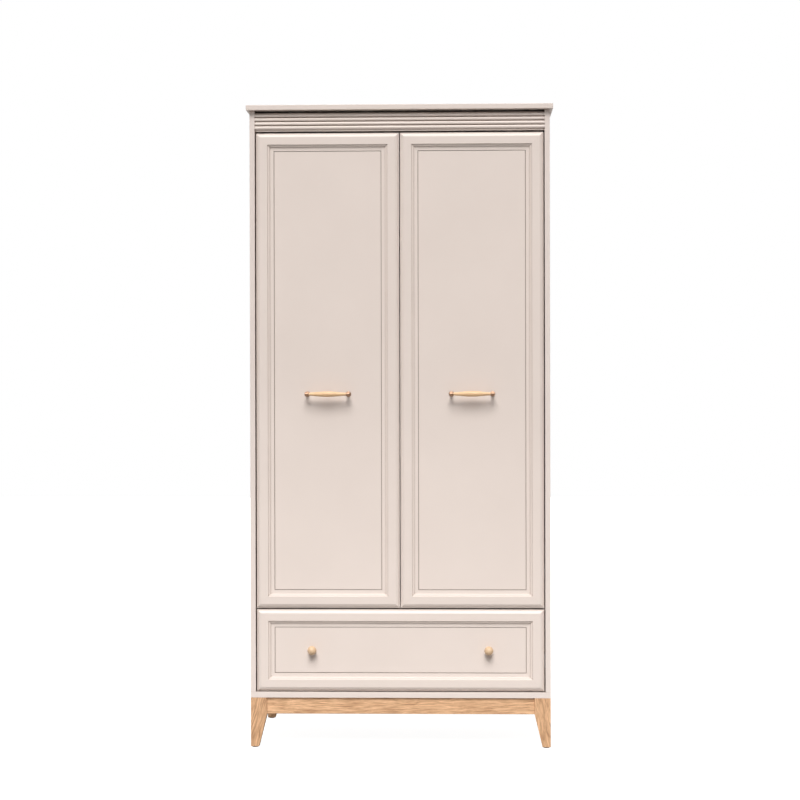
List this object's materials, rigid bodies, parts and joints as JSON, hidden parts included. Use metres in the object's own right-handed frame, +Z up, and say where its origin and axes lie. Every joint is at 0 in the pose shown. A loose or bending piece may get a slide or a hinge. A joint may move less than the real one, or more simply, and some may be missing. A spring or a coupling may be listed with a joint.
{
  "type": "wardrobe with two doors and a drawer",
  "caption": "Freestanding two-door wardrobe with framed doors, a drawer below, a reeded frieze, a flat cornice and splayed oak legs.",
  "frame": {"origin": "on the floor, at the middle of the whole object's footprint, door grips included", "axes": "+Z up, the doors and drawer face -Y, +X is to the right as seen from the front"},
  "size_m": [0.954, 0.59, 2],
  "materials": {
    "lacquered_board": "satin lacquer on fibreboard, warm pale cashmere",
    "oak": "clear matt oiled oak",
    "beech": "clear satin lacquer on turned pale wood",
    "copper_bronze": "satin copper-bronze plating",
    "zinc_steel": "bright zinc plating",
    "chromed_tube": "polished chrome plating",
    "hardboard": "printed hardboard, smooth face",
    "drawer_board": "foil-wrapped drawer board",
    "plastic_trim": "moulded matt plastic",
    "felt": "needled felt"
  },
  "bodies": {
    "carcass": {"left_side_panel": "lacquered_board", "right_side_panel": "lacquered_board", "bottom_panel": "lacquered_board", "divider_shelf": "lacquered_board", "top_panel": "lacquered_board", "hat_shelf": "lacquered_board", "back_panel": "hardboard", "top_cornice": "lacquered_board", "reeded_frieze": "lacquered_board", "hanging_rail": "chromed_tube", "front_left_leg": "oak", "front_right_leg": "oak", "rear_left_leg": "oak", "rear_right_leg": "oak", "front_base_rail": "oak", "rear_base_rail": "oak", "left_base_rail": "oak", "right_base_rail": "oak", "left_lower_hinge_arm": "zinc_steel", "left_middle_hinge_arm": "zinc_steel", "left_upper_hinge_arm": "zinc_steel", "right_lower_hinge_arm": "zinc_steel", "right_middle_hinge_arm": "zinc_steel", "right_upper_hinge_arm": "zinc_steel", "left_slide_outer": "zinc_steel", "right_slide_outer": "zinc_steel"},
    "left_door": {"left_door_hinge_stile": "lacquered_board", "left_door_meeting_stile": "lacquered_board", "left_door_top_rail": "lacquered_board", "left_door_bottom_rail": "lacquered_board", "left_door_panel": "lacquered_board", "left_door_grip": "beech", "left_door_left_post": "copper_bronze", "left_door_right_post": "copper_bronze", "left_lower_hinge_cup": "zinc_steel", "left_middle_hinge_cup": "zinc_steel", "left_upper_hinge_cup": "zinc_steel"},
    "right_door": {"right_door_hinge_stile": "lacquered_board", "right_door_meeting_stile": "lacquered_board", "right_door_top_rail": "lacquered_board", "right_door_bottom_rail": "lacquered_board", "right_door_panel": "lacquered_board", "right_door_grip": "beech", "right_door_left_post": "copper_bronze", "right_door_right_post": "copper_bronze", "right_lower_hinge_cup": "zinc_steel", "right_middle_hinge_cup": "zinc_steel", "right_upper_hinge_cup": "zinc_steel"},
    "drawer": {"drawer_front_frame": "lacquered_board", "drawer_front_panel": "lacquered_board", "drawer_left_knob": "beech", "drawer_right_knob": "beech", "drawer_left_side": "drawer_board", "drawer_right_side": "drawer_board", "drawer_bottom": "hardboard", "drawer_back": "drawer_board", "left_slide_inner": "zinc_steel", "right_slide_inner": "zinc_steel"},
    "left_slide_carriage": {"left_slide_middle": "zinc_steel"},
    "right_slide_carriage": {"right_slide_middle": "zinc_steel"}
  },
  "joints": [
    {"name": "left_door_swing", "type": "hinge", "parent": "carcass", "child": "left_door", "pos_m": [-0.437, -0.2538, 1.1745], "axis": [0, 0, -1], "range_deg": [0, 95]},
    {"name": "right_door_swing", "type": "hinge", "parent": "carcass", "child": "right_door", "pos_m": [0.437, -0.2538, 1.1745], "axis": [0, 0, 1], "range_deg": [0, 95]},
    {"name": "drawer_slide", "type": "slide", "parent": "carcass", "child": "drawer", "axis": [0, -1, 0], "range_m": [0, 0.4]},
    {"name": "left_carriage_slide", "type": "slide", "parent": "carcass", "child": "left_slide_carriage", "axis": [0, -1, 0], "range_m": [0, 0.2]},
    {"name": "right_carriage_slide", "type": "slide", "parent": "carcass", "child": "right_slide_carriage", "axis": [0, -1, 0], "range_m": [0, 0.2]}
  ],
  "couplings": [
    {"joint": "left_carriage_slide", "follows": "drawer_slide", "ratio": 0.5},
    {"joint": "right_carriage_slide", "follows": "drawer_slide", "ratio": 0.5}
  ]
}
